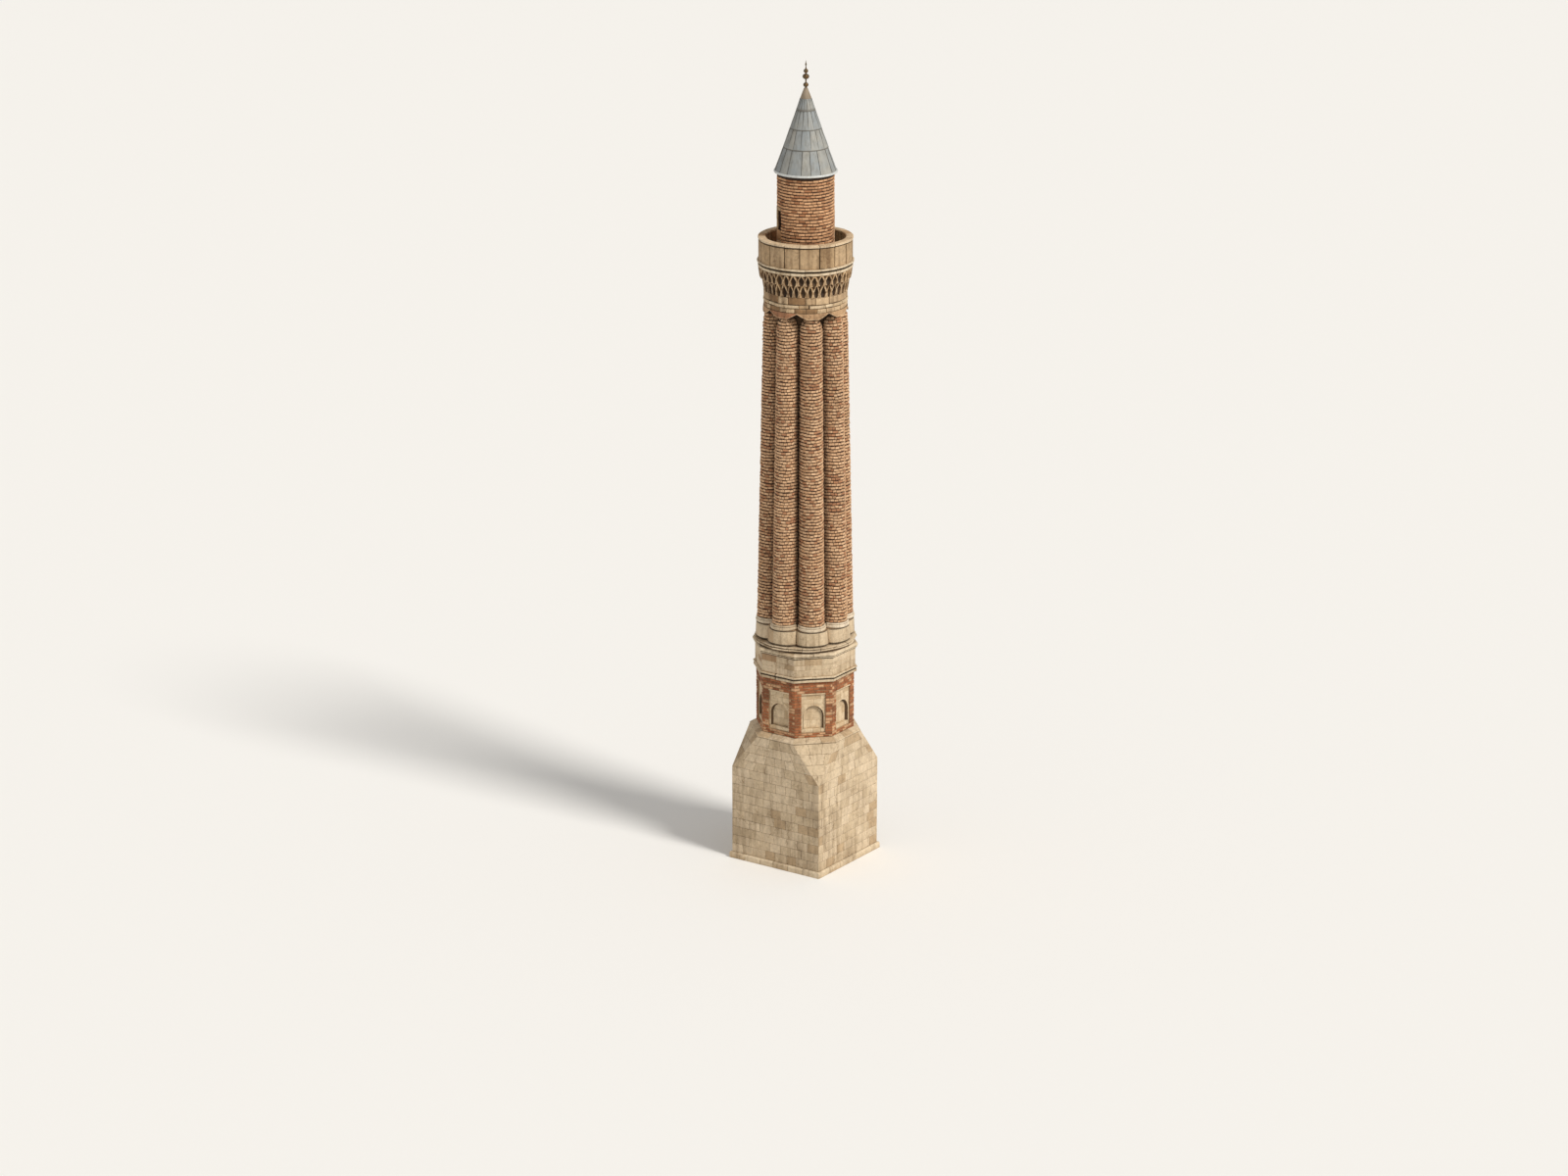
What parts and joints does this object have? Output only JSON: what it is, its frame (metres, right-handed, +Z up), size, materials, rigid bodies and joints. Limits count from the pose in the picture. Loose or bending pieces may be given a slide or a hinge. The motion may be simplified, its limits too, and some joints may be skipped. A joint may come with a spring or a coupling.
{
  "type": "fluted brick minaret",
  "caption": "Fluted brick minaret on a square stone base, with an arched-panel octagon, corbelled balcony, round upper drum and lead cone roof with a bronze finial.",
  "frame": {"origin": "centre of the flat underside of the base plinth, at ground level", "axes": "+Z up along the shaft; the square base has its sides across X and Y, with the entrance at +Y"},
  "size_m": [5.12, 5.12, 38],
  "materials": {
    "cut_stone": "pale limestone blocks, weathered",
    "weathered_stone": "dark weathered corbels",
    "brick": "pink and tan brick in sandy mortar",
    "sheet_lead": "dull blue-grey sheet lead",
    "bronze": "aged dark bronze"
  },
  "bodies": {
    "root": {"base_plinth": "cut_stone", "base_wall_front": "cut_stone", "base_wall_right": "cut_stone", "base_wall_left": "cut_stone", "base_pier_left": "cut_stone", "base_pier_right": "cut_stone", "base_wall_over_entrance": "cut_stone", "base_ledge": "cut_stone", "string_course": "cut_stone", "stone_band": "cut_stone", "octagon_cornice": "cut_stone", "round_ledge": "cut_stone", "lobed_drum": "cut_stone", "roll_moulding": "cut_stone", "flute_hoods": "cut_stone", "collar": "cut_stone", "balcony_slab": "cut_stone", "parapet_1": "cut_stone", "parapet_2": "cut_stone", "parapet_3": "cut_stone", "parapet_4": "cut_stone", "parapet_5": "cut_stone", "parapet_6": "cut_stone", "upper_door_frame": "cut_stone", "slit_window": "cut_stone", "corbel_tier_lower": "weathered_stone", "corbel_tier_upper": "weathered_stone", "octagon_wall_1": "brick", "octagon_wall_2": "brick", "octagon_wall_3": "brick", "octagon_wall_4": "brick", "flute_1": "brick", "flute_2": "brick", "flute_3": "brick", "flute_4": "brick", "flute_5": "brick", "flute_6": "brick", "flute_7": "brick", "flute_8": "brick", "upper_drum_1": "brick", "upper_drum_2": "brick", "upper_drum_3": "brick", "upper_drum_over_door": "brick", "lead_cone": "sheet_lead", "finial": "bronze"}
  },
  "joints": []
}
